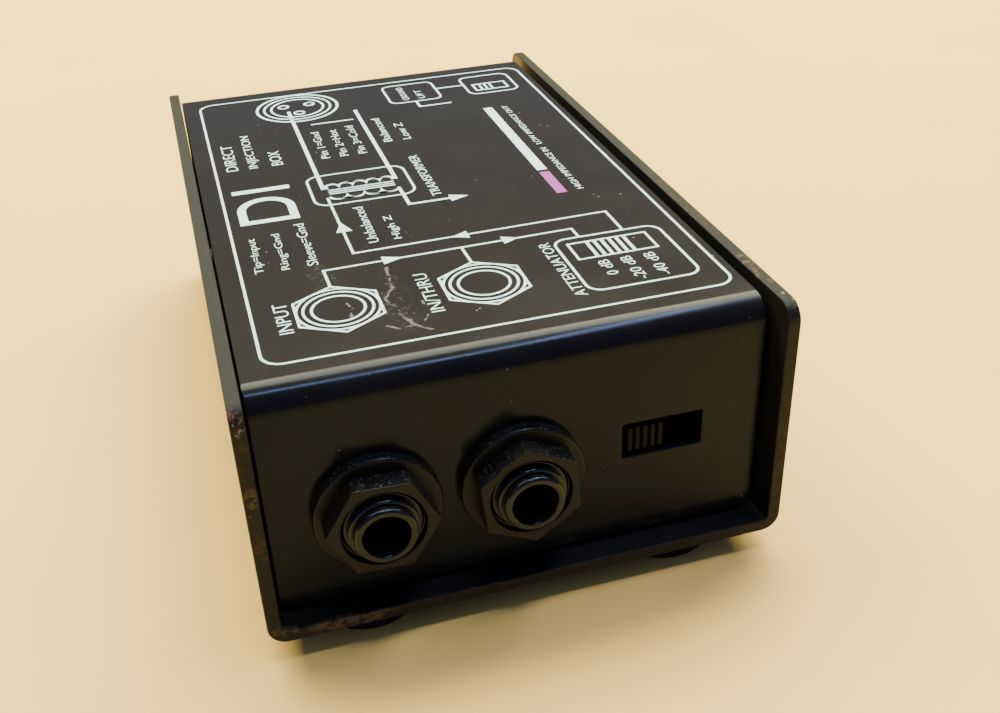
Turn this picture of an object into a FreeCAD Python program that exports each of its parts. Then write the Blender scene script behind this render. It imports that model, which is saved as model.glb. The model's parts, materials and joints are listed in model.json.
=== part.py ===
import FreeCAD, Part
import math
import os

# Passive direct injection box: a folded steel base chassis with a folded steel cover dropped
# between its side walls, two quarter-inch jacks and an attenuator switch at the front, an XLR
# output and a ground-lift switch at the rear, and an isolating transformer between them.
#
# Every function works in the chassis frame: X to the right, Y from the front to the rear,
# Z up, with y = 0 midway between the chassis' edges and z = 0 at the chassis' underside.
# save() moves each piece so that the origin is the centre of the footprint, on the surface
# that the feet stand on.

V = FreeCAD.Vector

# ---------------------------------------------------------------- driving dimensions (mm)
BASE_WIDTH = 77.5          # across the side walls
BASE_DEPTH = 127.0         # front edge to rear edge
WALL_HEIGHT = 38.7         # underside to the top of the side walls
BASE_SHEET = 2.0
BASE_BEND = 2.8            # outer bend radius
WALL_CORNER = 3.0          # rounded upper corners of the side walls

COVER_SHEET = 1.2
COVER_LEFT = -36.5
COVER_RIGHT = 35.5
COVER_TOP = 38.2
COVER_BEND = 3.8
FLANGE_BEND = 1.8
FLANGE_DEPTH = 13.5
PANEL_RECESS = 3.5         # panels stand this far inside the chassis' edges

FOOT_RADIUS = 8.4
FOOT_HEIGHT = 3.8
FOOT_X = 23.5
FOOT_Y = 53.2

JACK_Z = 17.35
INPUT_JACK_X = -21.5
THRU_JACK_X = -1.0
JACK_BORE = 3.25           # clears the 6.35 mm plug
THREAD_RADIUS = 5.5
JACK_BODY = 15.8           # square section behind the panel
JACK_LENGTH = 24.0
WASHER_RADIUS = 9.05
WASHER_THICK = 1.9
NUT_RADIUS = 7.9           # across the corners, halved
NUT_THICK = 3.2
LIP_REACH = 1.8            # bushing lip beyond the nut
INPUT_NUT_TURN = -2.5      # degrees from +X to a corner
THRU_NUT_TURN = 35.2

SWITCH_Z = 19.4
SWITCH_X = 20.3
WINDOW_HEIGHT = 5.7
WINDOW_SLACK = 1.9         # window's length beyond the knob's length and travel
SLIDER_LENGTH = 5.3
SLIDER_HEIGHT = 3.9
SWITCH_STEP = 2.5          # travel between two positions

XLR_X = -16.0
XLR_WIDTH = 26.0
XLR_HEIGHT = 27.0
XLR_BEZEL = 10.9
XLR_SOCKET = 8.3
XLR_PIN = 1.2
XLR_PIN_CIRCLE = 4.45
XLR_SCREW_REACH = (10.2, 10.6)
XLR_SCREW_RADIUS = 1.2

BOARD_THICK = 1.6
BOARD_HALF_WIDTH = 33.0
BOARD_STANDOFF = 0.6       # gap between a board's edge and the panel
FRONT_BOARD_REAR = -30.0
REAR_BOARD_FRONT = 36.0
REAR_BOARD_TOP = 7.4
PAD_X = 12.5
PAD_PITCH = 4.6
PAD_Y = -38.5
PAD_COUNT = 4
LIFT_RESISTOR = (11.5, 45.5)
LIFT_CAPACITOR = (20.3, 41.5)

CORE_WIDTH = 35.0
CORE_HEIGHT = 29.2
CORE_STACK = 12.0
CORE_LIMB = 10.0
WINDOW_WIDTH = 6.5
WINDOW_TALL = 17.2
CORE_Y = 4.0
STRAP = 0.8
STRAP_SCREW_X = 23.0

SCREW_RADIUS = 1.45        # M3 shank
CLEARANCE_RADIUS = 1.7
PILOT_RADIUS = 2.1         # hole for a clinch nut
EPS = 0.05                 # assembly clearance of fitted pieces
WIRE_RADIUS = 0.6

# ---------------------------------------------------------------- worked-out places
PANEL_Y = BASE_DEPTH / 2 - PANEL_RECESS
PANEL_INNER = PANEL_Y - COVER_SHEET
NUT_FACE = PANEL_Y + WASHER_THICK + NUT_THICK
LIP_Y = NUT_FACE + LIP_REACH
PLACE = V(0, (LIP_Y - BASE_DEPTH / 2) / 2, FOOT_HEIGHT)
FRONT_BOARD_TOP = JACK_Z - JACK_BODY / 2
XLR_Z = REAR_BOARD_TOP + XLR_HEIGHT / 2
JACKS = {"input": (INPUT_JACK_X, INPUT_NUT_TURN), "thru": (THRU_JACK_X, THRU_NUT_TURN)}
FEET = {
    "front_left": (-FOOT_X, -FOOT_Y),
    "front_right": (FOOT_X, -FOOT_Y),
    "rear_left": (-FOOT_X, FOOT_Y),
    "rear_right": (FOOT_X, FOOT_Y),
}
CORE_FLOOR = BASE_SHEET + STRAP


# ---------------------------------------------------------------- shape helpers
def block(x0, x1, y0, y1, z0, z1):
    return Part.makeBox(x1 - x0, y1 - y0, z1 - z0, V(x0, y0, z0))


def rod(radius, start, end):
    run = end - start
    return Part.makeCylinder(radius, run.Length, start, run)


def ring(outer, inner, start, end):
    return rod(outer, start, end).cut(rod(inner, start, end))


def extrude(points, run):
    return Part.Face(Part.makePolygon(points + [points[0]])).extrude(run)


def round_edges(shape, radius, keep):
    edges = [edge for edge in shape.Edges if keep(edge)]
    return shape.makeFillet(radius, edges)


def chamfer_edges(shape, size, keep):
    edges = [edge for edge in shape.Edges if keep(edge)]
    return shape.makeChamfer(size, edges)


def straight_along(edge, axis):
    if not isinstance(edge.Curve, Part.Line):
        return False
    return abs(edge.tangentAt(edge.FirstParameter).dot(axis)) > 0.999


def rounded_block(x0, x1, y0, y1, z0, z1, radius, axis):
    return round_edges(block(x0, x1, y0, y1, z0, z1), radius, lambda e: straight_along(e, axis))


def on_circle(edge, axis_value, level, tolerance=0.01):
    """True for a circular edge lying in the plane where the coordinate axis_value is level."""
    if not isinstance(edge.Curve, Part.Circle):
        return False
    return abs(getattr(edge.Curve.Center, axis_value) - level) < tolerance


def hexagon(radius, turn, start, run):
    corners = []
    for corner in range(6):
        angle = math.radians(turn + 60 * corner)
        corners.append(start + V(radius * math.cos(angle), 0, radius * math.sin(angle)))
    return extrude(corners, run)


def cross_recess(centre, size, depth, down):
    """Two crossed slots cut into a screw head; down points into the head."""
    half = size / 2
    slot = 0.35
    along = V(1, 0, 0)
    across = down.cross(along)
    cutters = []
    for long_way, short_way in ((along, across), (across, along)):
        corners = []
        for sign_long, sign_short in ((-1, -1), (1, -1), (1, 1), (-1, 1)):
            corners.append(centre + long_way * (half * sign_long) + short_way * (slot * sign_short))
        cutters.append(extrude(corners, down * depth))
    return cutters[0].fuse(cutters[1])


def pan_screw(seat, down, length, head_radius, head_height, shank_radius):
    """Screw whose head bears on seat; down points from the head towards the tip."""
    top = seat - down * head_height
    head = rod(head_radius, top, seat)
    head = round_edges(head, head_height * 0.55, lambda e: on_rim(e, top))
    head = head.cut(cross_recess(top, head_radius * 1.2, head_height * 0.6, down))
    tip = seat + down * length
    shank = rod(shank_radius, seat, tip)
    shank = chamfer_edges(shank, shank_radius * 0.3, lambda e: on_rim(e, tip))
    return head.fuse(shank).removeSplitter()


def on_rim(edge, centre):
    return isinstance(edge.Curve, Part.Circle) and (edge.Curve.Center - centre).Length < 0.01


def rounded_route(points):
    """Straight runs joined by tangent arcs, each as large as its two runs allow."""
    edges = []
    last = points[0]
    for before, corner, after in zip(points, points[1:], points[2:]):
        reach = 0.45 * min((corner - before).Length, (after - corner).Length)
        into = (corner - before).normalize()
        away = (after - corner).normalize()
        enter = corner - into * reach
        leave = corner + away * reach
        half_turn = into.getAngle(away) / 2
        radius = reach / math.tan(half_turn)
        inward = (away - into).normalize()
        sagitta = radius * (1 / math.cos(half_turn) - 1)
        middle = corner + inward * sagitta
        edges.append(Part.LineSegment(last, enter).toShape())
        edges.append(Part.Arc(enter, middle, leave).toShape())
        last = leave
    edges.append(Part.LineSegment(last, points[-1]).toShape())
    return Part.Wire(edges)


def rounded_profile(corners):
    """Closed face from (point, corner radius) pairs; a radius of 0 leaves the corner sharp."""
    joints = []
    count = len(corners)
    for number, (corner, radius) in enumerate(corners):
        if radius == 0:
            joints.append((corner, None, corner))
            continue
        into = (corner - corners[number - 1][0]).normalize()
        away = (corners[(number + 1) % count][0] - corner).normalize()
        half_turn = into.getAngle(away) / 2
        reach = radius * math.tan(half_turn)
        inward = (away - into).normalize()
        middle = corner + inward * (radius * (1 / math.cos(half_turn) - 1))
        joints.append((corner - into * reach, middle, corner + away * reach))
    edges = []
    for number, (enter, middle, leave) in enumerate(joints):
        if middle is not None:
            edges.append(Part.Arc(enter, middle, leave).toShape())
        edges.append(Part.LineSegment(leave, joints[(number + 1) % count][0]).toShape())
    return Part.Face(Part.Wire(edges))


def wire(points, radius=WIRE_RADIUS):
    route = rounded_route(points)
    section = Part.Wire(Part.makeCircle(radius, points[0], points[1] - points[0]))
    return route.makePipeShell([section], True, True)


def group(solids):
    return Part.makeCompound(solids)


def save(name, shape):
    placed = shape.copy()
    placed.translate(PLACE)
    placed.exportStep("parts/" + name + ".step")


# ---------------------------------------------------------------- enclosure
def base_chassis():
    half = BASE_WIDTH / 2
    front = -BASE_DEPTH / 2
    along = V(0, 1, 0)
    outer = block(-half, half, front, -front, 0, WALL_HEIGHT)
    outer = round_edges(outer, BASE_BEND, lambda e: straight_along(e, along) and e.Curve.Location.z < 1)
    inner = block(-half + BASE_SHEET, half - BASE_SHEET, front, -front, BASE_SHEET, WALL_HEIGHT)
    inner_bend = BASE_BEND - BASE_SHEET
    inner = round_edges(inner, inner_bend, lambda e: straight_along(e, along) and e.Curve.Location.z < 3)
    chassis = outer.cut(inner)
    across = V(1, 0, 0)
    side_outline = block(-half, half, front, -front, 0, WALL_HEIGHT)
    side_outline = round_edges(
        side_outline, WALL_CORNER, lambda e: straight_along(e, across) and e.Curve.Location.z > 1)
    chassis = chassis.common(side_outline)
    for x, y in list(FEET.values()) + [(-STRAP_SCREW_X, CORE_Y), (STRAP_SCREW_X, CORE_Y)]:
        chassis = chassis.cut(rod(CLEARANCE_RADIUS, V(x, y, -1), V(x, y, BASE_SHEET + 1)))
    return chassis


def cover_outline(inset, z_bottom, z_top, top_radius, bottom_radius):
    """Solid whose side view is the cover's outline, inset from the outer faces."""
    reach = PANEL_Y - inset
    across = V(1, 0, 0)
    shape = block(COVER_LEFT, COVER_RIGHT, -reach, reach, z_bottom, z_top)
    middle = (z_bottom + z_top) / 2

    def upper(edge):
        return straight_along(edge, across) and edge.Curve.Location.z > middle

    def lower(edge):
        return straight_along(edge, across) and edge.Curve.Location.z < middle

    return round_edges(round_edges(shape, top_radius, upper), bottom_radius, lower)


def switch_window(positions):
    return SLIDER_LENGTH + SWITCH_STEP * (positions - 1) + WINDOW_SLACK


def window_cut(x, side, positions):
    """Slot for a slide switch through the front (side = -1) or rear (side = 1) panel."""
    half_long = switch_window(positions) / 2
    half_tall = WINDOW_HEIGHT / 2
    near = side * (PANEL_INNER - 1)
    far = side * (PANEL_Y + 1)
    return rounded_block(x - half_long, x + half_long, min(near, far), max(near, far),
                         SWITCH_Z - half_tall, SWITCH_Z + half_tall, 0.25, V(0, 1, 0))


def xlr_screw_places():
    reach_x, reach_z = XLR_SCREW_REACH
    return [(XLR_X - reach_x, XLR_Z + reach_z), (XLR_X + reach_x, XLR_Z - reach_z)]


def top_cover():
    shell = cover_outline(0, BASE_SHEET, COVER_TOP, COVER_BEND, FLANGE_BEND)
    hollow = cover_outline(COVER_SHEET, BASE_SHEET + COVER_SHEET, COVER_TOP - COVER_SHEET,
                           COVER_BEND - COVER_SHEET, FLANGE_BEND - COVER_SHEET)
    shell = shell.cut(hollow)
    gap = PANEL_Y - FLANGE_DEPTH
    shell = shell.cut(block(COVER_LEFT, COVER_RIGHT, -gap, gap, 0, BASE_SHEET + COVER_SHEET + 0.5))
    relief = 1.0
    for x0, x1 in ((COVER_LEFT, COVER_LEFT + relief), (COVER_RIGHT - relief, COVER_RIGHT)):
        shell = shell.cut(block(x0, x1, -PANEL_Y, PANEL_Y, 0, BASE_SHEET + FLANGE_BEND))
    for x, y in FEET.values():
        shell = shell.cut(rod(PILOT_RADIUS, V(x, y, 1), V(x, y, BASE_SHEET + COVER_SHEET + 1)))
    for x, turn in JACKS.values():
        outside = V(x, -PANEL_Y - 1, JACK_Z)
        inside = V(x, -PANEL_INNER + 1, JACK_Z)
        shell = shell.cut(rod(THREAD_RADIUS + 0.1, outside, inside))
    shell = shell.cut(window_cut(SWITCH_X, -1, 3))
    shell = shell.cut(window_cut(SWITCH_X, 1, 2))
    shell = shell.cut(rod(XLR_BEZEL + 0.15, V(XLR_X, PANEL_INNER - 1, XLR_Z), V(XLR_X, PANEL_Y + 1, XLR_Z)))
    for x, z in xlr_screw_places():
        hole = XLR_SCREW_RADIUS + 0.2
        shell = shell.cut(rod(hole, V(x, PANEL_INNER - 1, z), V(x, PANEL_Y + 1, z)))
    return shell


FOOT_WEB = 1.4             # rubber between the screw's head and the chassis
FOOT_WELL = 4.2            # radius of the recess for the screw's head
FOOT_TAPER = 0.5
FOOT_EDGE = 0.8


def foot(x, y):
    bottom = V(x, y, -FOOT_HEIGHT)
    top = V(x, y, 0)
    shape = Part.makeCone(FOOT_RADIUS - FOOT_TAPER, FOOT_RADIUS, FOOT_HEIGHT, bottom, V(0, 0, 1))
    shape = round_edges(shape, FOOT_EDGE, lambda e: on_rim(e, bottom))
    shape = shape.cut(rod(FOOT_WELL, bottom, V(x, y, -FOOT_WEB)))
    return shape.cut(rod(CLEARANCE_RADIUS, bottom, top))


def cover_screw(x, y):
    return pan_screw(V(x, y, -FOOT_WEB), V(0, 0, 1), 6.0, 2.8, 1.7, SCREW_RADIUS)


def clinch_nut(x, y):
    flange_top = BASE_SHEET + COVER_SHEET
    pilot = rod(PILOT_RADIUS, V(x, y, BASE_SHEET + EPS), V(x, y, flange_top))
    collar = rod(3.0, V(x, y, flange_top), V(x, y, flange_top + 1.5))
    return pilot.fuse(collar).cut(rod(SCREW_RADIUS + EPS, V(x, y, 0), V(x, y, 8)))


# ---------------------------------------------------------------- jacks
JACK_WALL = 2.0
JACK_BACK_WALL = 1.5
CAVITY_HALF = 5.7
SHOULDER_RADIUS = 4.95
LIP_RADIUS = 4.35
JACK_REAR = -PANEL_INNER + JACK_LENGTH
NUT_RELIEF_RADIUS = 5.87   # countersink at the nut's outer face
NUT_RELIEF_DEPTH = 1.2


def bushing(x):
    """Threaded nose that comes out through the panel: thread, shoulder and rounded lip."""
    thread_end = -NUT_FACE + 0.7
    shoulder_end = -NUT_FACE - 0.55
    corners = (
        (JACK_BORE, -PANEL_INNER + 1.0, 0),
        (THREAD_RADIUS, -PANEL_INNER + 1.0, 0),
        (THREAD_RADIUS, thread_end, 0.3),
        (SHOULDER_RADIUS, thread_end, 0),
        (SHOULDER_RADIUS, shoulder_end, 0.35),
        (LIP_RADIUS, shoulder_end, 0),
        (LIP_RADIUS, -LIP_Y, 0.5),
        (JACK_BORE, -LIP_Y, 0.3),
    )
    face = rounded_profile([(V(x + radius, y, JACK_Z), round_off) for radius, y, round_off in corners])
    return face.revolve(V(x, 0, JACK_Z), V(0, 1, 0), 360)


def jack_body(x):
    half = JACK_BODY / 2
    front = -PANEL_INNER
    body = rounded_block(x - half, x + half, front, JACK_REAR, JACK_Z - half, JACK_Z + half,
                         0.8, V(0, 1, 0))
    body = body.cut(rod(JACK_BORE, V(x, front - 1, JACK_Z), V(x, front + JACK_WALL + 1, JACK_Z)))
    body = body.cut(block(x - CAVITY_HALF, x + CAVITY_HALF, front + JACK_WALL, JACK_REAR - JACK_BACK_WALL,
                          JACK_Z - CAVITY_HALF, JACK_Z + CAVITY_HALF))
    return body.fuse(bushing(x)).removeSplitter()


def jack_washer(x):
    shape = ring(WASHER_RADIUS, THREAD_RADIUS + 0.1, V(x, -PANEL_Y, JACK_Z),
                 V(x, -PANEL_Y - WASHER_THICK, JACK_Z))
    front = -PANEL_Y - WASHER_THICK
    return chamfer_edges(shape, 0.25, lambda e: on_circle(e, "y", front) and e.Curve.Radius > 7)


def jack_nut(x, turn):
    back = -PANEL_Y - WASHER_THICK
    shape = hexagon(NUT_RADIUS, turn, V(x, back, JACK_Z), V(0, -NUT_THICK, 0))
    shape = shape.cut(rod(THREAD_RADIUS + EPS, V(x, back + 1, JACK_Z), V(x, -NUT_FACE - 1, JACK_Z)))
    return shape.cut(rod(NUT_RELIEF_RADIUS, V(x, -NUT_FACE + NUT_RELIEF_DEPTH, JACK_Z),
                         V(x, -NUT_FACE - 1, JACK_Z)))


# Each leaf: angle about the jack's axis, distance of its root and of its contact point from
# the panel's inner face, along the plug's travel.
LEAVES = {
    "tip": (90, 4.2, 18.4),
    "ring": (270, 4.2, 13.8),
    "sleeve": (0, 18.0, 4.6),
}
LEAF_ROOT_HEIGHT = 4.8
LEAF_THICK = 0.35
LEAF_HALF_WIDTH = 1.4
CONTACT_GAP = 2.65         # from the axis to the contact point, less than the plug's radius
KNEE_RUN = 2.2             # along the plug, from the contact point back to the leaf's knee
TAIL_RUN = 2.0
KNEE_DROP = 0.9
TAIL_DROP = 1.2


def jack_leaf(x, angle, root, contact):
    """Bent leaf spring that presses on the plug, drawn above the axis and turned into place."""
    start = -PANEL_INNER + root
    touch = -PANEL_INNER + contact
    way = 1 if contact > root else -1
    knee = touch - way * KNEE_RUN
    end = touch + way * TAIL_RUN
    low = [
        V(x - LEAF_HALF_WIDTH, start, JACK_Z + LEAF_ROOT_HEIGHT),
        V(x - LEAF_HALF_WIDTH, knee, JACK_Z + LEAF_ROOT_HEIGHT - KNEE_DROP),
        V(x - LEAF_HALF_WIDTH, touch, JACK_Z + CONTACT_GAP),
        V(x - LEAF_HALF_WIDTH, end, JACK_Z + LEAF_ROOT_HEIGHT - TAIL_DROP),
    ]
    high = [point + V(0, 0, LEAF_THICK) for point in reversed(low)]
    leaf = extrude(low + high, V(2 * LEAF_HALF_WIDTH, 0, 0))
    leaf.rotate(V(x, 0, JACK_Z), V(0, 1, 0), 90 - angle)
    return leaf


TERMINAL_Y = (3.0, 11.0, 21.0)
TERMINAL_LENGTH = 3.2


def jack_terminals(x):
    pins = []
    tip = FRONT_BOARD_TOP - TERMINAL_LENGTH
    for distance in TERMINAL_Y:
        y = -PANEL_INNER + distance
        pins.append(block(x - 0.5, x + 0.5, y - 0.25, y + 0.25, tip, FRONT_BOARD_TOP))
    return pins


# ---------------------------------------------------------------- slide switches
# Drawn at the front: y = 0 on the panel's inner face, growing inwards; x = 0 at the window.
CAN_HEIGHT = 7.4
CAN_DEPTH = 6.2
CAN_SHEET = 0.5
CAN_MARGIN = 1.7           # can's length beyond the window, at each end
TAB_WIDTH = 1.6
WAFER_FRONT = 4.6
WAFER_THICK = 1.2
PIN_ROW = 1.6
PIN_HALF = 0.3
RIVET_HEAD = 0.8
RIVET_SHANK = 0.4
BOARD_REACH = 1.0          # how far pins and tabs stand out under a board
KNOB_FRONT = -0.95         # a little inside the panel's outer face
KNOB_RIBS = 5
RIB_WIDTH = 0.68
GROOVE_DEPTH = 0.8
PLATE_FRONT = 0.7          # the plate behind the knob keeps the slider in the can
PLATE_BACK = 2.4
PLATE_HALF_LENGTH = 4.7
PLATE_GAP = 0.1
WIPER_HALF = 0.6


def switch_frame(positions, drop):
    half = switch_window(positions) / 2 + CAN_MARGIN
    tall = CAN_HEIGHT / 2
    can = block(-half, half, 0, CAN_DEPTH, -tall, tall)
    can = can.cut(block(-half + CAN_SHEET, half - CAN_SHEET, CAN_SHEET, CAN_DEPTH,
                        -tall + CAN_SHEET, tall - CAN_SHEET))
    slot = switch_window(positions) / 2
    slot_tall = WINDOW_HEIGHT / 2 + PLATE_GAP
    can = can.cut(block(-slot, slot, -1, 1, -slot_tall, slot_tall))
    for side in (-1, 1):
        inner = side * (half - TAB_WIDTH)
        outer = side * half
        can = can.fuse(block(min(inner, outer), max(inner, outer), CAN_DEPTH - 0.9, CAN_DEPTH - 0.4,
                             -drop - BOARD_THICK - BOARD_REACH, -tall))
    return can.removeSplitter()


def resting_place(positions):
    """Middle of the slider at its first position."""
    return -SWITCH_STEP * (positions - 1) / 2


def switch_slider(positions):
    """Ribbed knob in the window, on a plate that slides between the can's walls."""
    start = resting_place(positions)
    half = SLIDER_LENGTH / 2
    tall = SLIDER_HEIGHT / 2
    knob = block(start - half, start + half, KNOB_FRONT, PLATE_FRONT, -tall, tall)
    groove_width = (SLIDER_LENGTH - KNOB_RIBS * RIB_WIDTH) / (KNOB_RIBS - 1)
    wide = groove_width / 2
    narrow = groove_width / 4
    for number in range(KNOB_RIBS - 1):
        groove = start - half + RIB_WIDTH + wide + (RIB_WIDTH + groove_width) * number
        floor = KNOB_FRONT + GROOVE_DEPTH
        knob = knob.cut(extrude([V(groove - wide, KNOB_FRONT, -tall), V(groove + wide, KNOB_FRONT, -tall),
                                 V(groove + narrow, floor, -tall), V(groove - narrow, floor, -tall)],
                                V(0, 0, SLIDER_HEIGHT)))
    plate_tall = CAN_HEIGHT / 2 - CAN_SHEET - PLATE_GAP
    plate = block(start - PLATE_HALF_LENGTH, start + PLATE_HALF_LENGTH, PLATE_FRONT, PLATE_BACK,
                  -plate_tall, plate_tall)
    return knob.fuse(plate).removeSplitter()


def switch_wipers(positions):
    """Two bowed strips under the slider, each bridging two neighbouring rivets of a row."""
    start = resting_place(positions)
    half_bow = ((2.2, PLATE_BACK), (1.6, PLATE_BACK), (1.25, 3.95), (0.0, 3.1))
    inner_bow = ((0.0, 3.4), (1.25, 4.25))
    strips = []
    for z in (-PIN_ROW, PIN_ROW):
        low = z - WIPER_HALF
        points = [V(start - x, y, low) for x, y in half_bow]
        points += [V(start + x, y, low) for x, y in reversed(half_bow[:-1])]
        points += [V(start + x, y, low) for x, y in reversed(inner_bow)]
        points += [V(start - x, y, low) for x, y in inner_bow[1:]]
        strips.append(extrude(points, V(0, 0, 2 * WIPER_HALF)))
    return strips


def switch_columns(positions):
    first = -SWITCH_STEP * positions / 2
    return [first + SWITCH_STEP * number for number in range(positions + 1)]


def switch_pins(positions, drop):
    pins = []
    back = WAFER_FRONT + WAFER_THICK
    bottom = -drop - BOARD_THICK - BOARD_REACH
    for z, tail in ((-PIN_ROW, 1.8), (PIN_ROW, 3.6)):
        for x in switch_columns(positions):
            pin = rod(RIVET_HEAD, V(x, WAFER_FRONT - 0.2, z), V(x, WAFER_FRONT, z))
            pin = pin.fuse(rod(RIVET_SHANK, V(x, WAFER_FRONT, z), V(x, back, z)))
            left = x - PIN_HALF
            right = x + PIN_HALF
            top = z + PIN_HALF
            pin = pin.fuse(block(left, right, back, back + tail, z - PIN_HALF, top))
            pin = pin.fuse(block(left, right, back + tail - 2 * PIN_HALF, back + tail, bottom, top))
            pins.append(pin.removeSplitter())
    return pins


def switch_wafer(positions):
    half = switch_window(positions) / 2 + CAN_MARGIN - CAN_SHEET
    tall = CAN_HEIGHT / 2 - CAN_SHEET
    back = WAFER_FRONT + WAFER_THICK
    wafer = block(-half, half, WAFER_FRONT, back, -tall, tall)
    for z in (-PIN_ROW, PIN_ROW):
        for x in switch_columns(positions):
            wafer = wafer.cut(rod(RIVET_SHANK, V(x, WAFER_FRONT - 1, z), V(x, back + 1, z)))
    return wafer


def at_front(shape):
    moved = shape.copy()
    moved.translate(V(SWITCH_X, -PANEL_INNER, SWITCH_Z))
    return moved


def at_rear(shape):
    moved = shape.copy()
    moved.rotate(V(0, 0, 0), V(0, 0, 1), 180)
    moved.translate(V(SWITCH_X, PANEL_INNER, SWITCH_Z))
    return moved


# ---------------------------------------------------------------- small components
def axial_resistor(x, y, board_top):
    """Resistor lying along Y, its leads bent down through the board."""
    z = board_top + 1.6
    half = 3.1
    reach = half + 2.0
    body = rod(1.0, V(x, y - half, z), V(x, y + half, z))
    for end in (-1, 1):
        cap = rod(1.2, V(x, y + end * half, z), V(x, y + end * (half - 1.5), z))
        body = body.fuse(cap)
        bend = V(x, y + end * reach, z)
        body = body.fuse(rod(0.3, V(x, y + end * half, z), bend))
        body = body.fuse(Part.makeSphere(0.3, bend))
        body = body.fuse(rod(0.3, bend, V(x, y + end * reach, board_top - BOARD_THICK - 1.0)))
    return body.removeSplitter()


def film_capacitor(x, y, board_top):
    case = rounded_block(x - 3.6, x + 3.6, y - 1.5, y + 1.5, board_top, board_top + 7.0, 0.5, V(0, 0, 1))
    for side in (-2.5, 2.5):
        case = case.fuse(rod(0.3, V(x + side, y, board_top - BOARD_THICK - 1.0), V(x + side, y, board_top)))
    return case.removeSplitter()


def board(y0, y1, top, legs):
    half = BOARD_HALF_WIDTH
    shape = rounded_block(-half, half, y0, y1, top - BOARD_THICK, top, 1.0, V(0, 0, 1))
    for leg in legs:
        shape = shape.cut(leg)
    return shape


# ---------------------------------------------------------------- XLR output
def xlr_pin_places():
    places = []
    for angle in (150, 30, 270):
        turn = math.radians(angle)
        places.append((XLR_X + XLR_PIN_CIRCLE * math.cos(turn), XLR_Z + XLR_PIN_CIRCLE * math.sin(turn)))
    return places


XLR_BACK = PANEL_INNER - 15.6
XLR_MOUTH = PANEL_Y + 1.6
INSERT_FRONT = XLR_BACK + 3.4


def xlr_housing():
    half = XLR_WIDTH / 2
    shape = rounded_block(XLR_X - half, XLR_X + half, XLR_BACK, PANEL_INNER,
                          REAR_BOARD_TOP, REAR_BOARD_TOP + XLR_HEIGHT, 1.2, V(0, 1, 0))
    shape = shape.fuse(rod(XLR_BEZEL, V(XLR_X, PANEL_INNER, XLR_Z), V(XLR_X, XLR_MOUTH, XLR_Z)))
    shape = round_edges(shape.removeSplitter(), 0.5, lambda e: on_circle(e, "y", XLR_MOUTH))
    shape = shape.cut(rod(XLR_SOCKET, V(XLR_X, XLR_BACK - 1, XLR_Z), V(XLR_X, XLR_MOUTH + 1, XLR_Z)))
    latch_slot = block(XLR_X - 1.6, XLR_X + 1.6, XLR_MOUTH - 7, XLR_MOUTH + 1,
                       XLR_Z, XLR_Z + XLR_SOCKET + 1.3)
    shape = shape.cut(latch_slot)
    for x, z in xlr_screw_places():
        shape = shape.cut(rod(XLR_SCREW_RADIUS + EPS, V(x, PANEL_INNER - 9, z), V(x, PANEL_INNER + 1, z)))
    return shape


def xlr_insert():
    shape = rod(XLR_SOCKET - EPS, V(XLR_X, XLR_BACK, XLR_Z), V(XLR_X, INSERT_FRONT, XLR_Z))
    for x, z in xlr_pin_places():
        shape = shape.cut(rod(XLR_PIN, V(x, XLR_BACK - 1, z), V(x, INSERT_FRONT + 1, z)))
    return shape


def xlr_pins():
    pins = []
    tip = XLR_MOUTH - 2.2
    for number, (x, z) in enumerate(xlr_pin_places()):
        pin = rod(XLR_PIN, V(x, XLR_BACK, z), V(x, tip, z))
        pin = round_edges(pin, 0.9, lambda e: on_circle(e, "y", tip))
        tail_y = XLR_BACK - 2.0
        pin = pin.fuse(block(x - 0.4, x + 0.4, tail_y - 0.4, XLR_BACK, z - 0.4, z + 0.4))
        pin = pin.fuse(block(x - 0.4, x + 0.4, tail_y - 0.4, tail_y + 0.4,
                             REAR_BOARD_TOP - BOARD_THICK - 0.9, z + 0.4))
        pins.append(pin.removeSplitter())
    return pins


def xlr_screw(x, z):
    return pan_screw(V(x, PANEL_Y, z), V(0, -1, 0), 8.5, 2.4, 1.5, XLR_SCREW_RADIUS)


# ---------------------------------------------------------------- transformer
def transformer_core():
    half = CORE_WIDTH / 2
    deep = CORE_STACK / 2
    core = block(-half, half, CORE_Y - deep, CORE_Y + deep, CORE_FLOOR, CORE_FLOOR + CORE_HEIGHT)
    sill = CORE_FLOOR + (CORE_HEIGHT - WINDOW_TALL) / 2
    for side in (-1, 1):
        near = side * CORE_LIMB / 2
        far = side * (CORE_LIMB / 2 + WINDOW_WIDTH)
        core = core.cut(block(min(near, far), max(near, far), CORE_Y - deep, CORE_Y + deep,
                              sill, sill + WINDOW_TALL))
    return core


BOBBIN_WALL = 0.9
COIL_BUILD = 5.2           # thickness of the copper on each side of the bobbin's tube
CHEEK = 1.2


def limb_block(grow, z0, z1, radius=0.0):
    """Block around the core's middle limb, grown outwards by grow."""
    wide = CORE_LIMB / 2 + grow
    deep = CORE_STACK / 2 + grow
    if radius > 0:
        return rounded_block(-wide, wide, CORE_Y - deep, CORE_Y + deep, z0, z1, radius, V(0, 0, 1))
    return block(-wide, wide, CORE_Y - deep, CORE_Y + deep, z0, z1)


def coil_levels():
    sill = CORE_FLOOR + (CORE_HEIGHT - WINDOW_TALL) / 2
    return sill + EPS, sill + WINDOW_TALL - EPS


def transformer_bobbin():
    low, high = coil_levels()
    shape = limb_block(BOBBIN_WALL, low, high)
    reach = BOBBIN_WALL + COIL_BUILD + 0.3
    shape = shape.fuse(limb_block(reach, low, low + CHEEK, 0.8))
    shape = shape.fuse(limb_block(reach, high - CHEEK, high, 0.8))
    return shape.cut(limb_block(0, low - 1, high + 1)).removeSplitter()


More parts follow.
